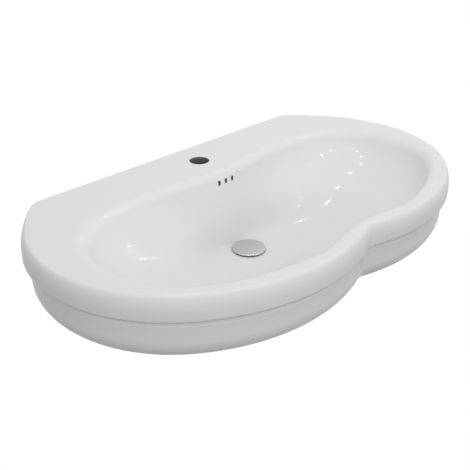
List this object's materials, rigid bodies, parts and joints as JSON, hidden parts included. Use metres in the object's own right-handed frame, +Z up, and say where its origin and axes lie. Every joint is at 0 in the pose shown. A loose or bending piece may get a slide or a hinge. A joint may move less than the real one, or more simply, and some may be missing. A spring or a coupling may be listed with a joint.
{
  "type": "wall-hung washbasin",
  "caption": "Wall-hung washbasin with a double-lobed bowl, banded rim, tap hole and overflow, and a push-to-open waste whose cap rises when pressed.",
  "frame": {"origin": "halfway between the two wall fixing holes, on the back face that meets the wall", "axes": "+X to the right of someone standing at the front of the basin, +Y into the wall, +Z up"},
  "size_m": [0.86, 0.48, 0.3035],
  "materials": {
    "glazed_china": "gloss",
    "chromed_brass": "polished",
    "plain_brass": "machined",
    "black_rubber": "matt",
    "white_nylon": "matt",
    "spring_steel": "drawn"
  },
  "bodies": {
    "basin_and_waste": {"basin": "glazed_china", "waste_body": "chromed_brass", "flange_seal": "black_rubber", "lower_seal": "black_rubber", "slip_washer": "white_nylon", "lock_nut": "plain_brass", "tail_pipe": "chromed_brass", "tail_seal": "black_rubber", "cartridge_housing": "plain_brass", "cartridge_nut": "plain_brass", "cartridge_sleeve": "white_nylon", "cartridge_end_cap": "plain_brass", "cartridge_spring": "spring_steel"},
    "plug": {"cap": "chromed_brass", "cap_seal": "black_rubber", "plunger": "plain_brass"},
    "latch": {"latch_wire": "spring_steel"}
  },
  "joints": [
    {"name": "cap_travel", "type": "slide", "parent": "basin_and_waste", "child": "plug", "axis": [0, 0, 1], "range_m": [-0.002, 0.009], "deforming": ["cartridge_spring"]},
    {"name": "latch_swing", "type": "hinge", "parent": "basin_and_waste", "child": "latch", "pos_m": [0, -0.2065, -0.11211], "axis": [0, 1, 0], "range_deg": [-3.8, 16.4]}
  ],
  "couplings": [
    {"joint": "latch_swing", "follows": "cap_travel", "rad_per_m": 31.416}
  ]
}
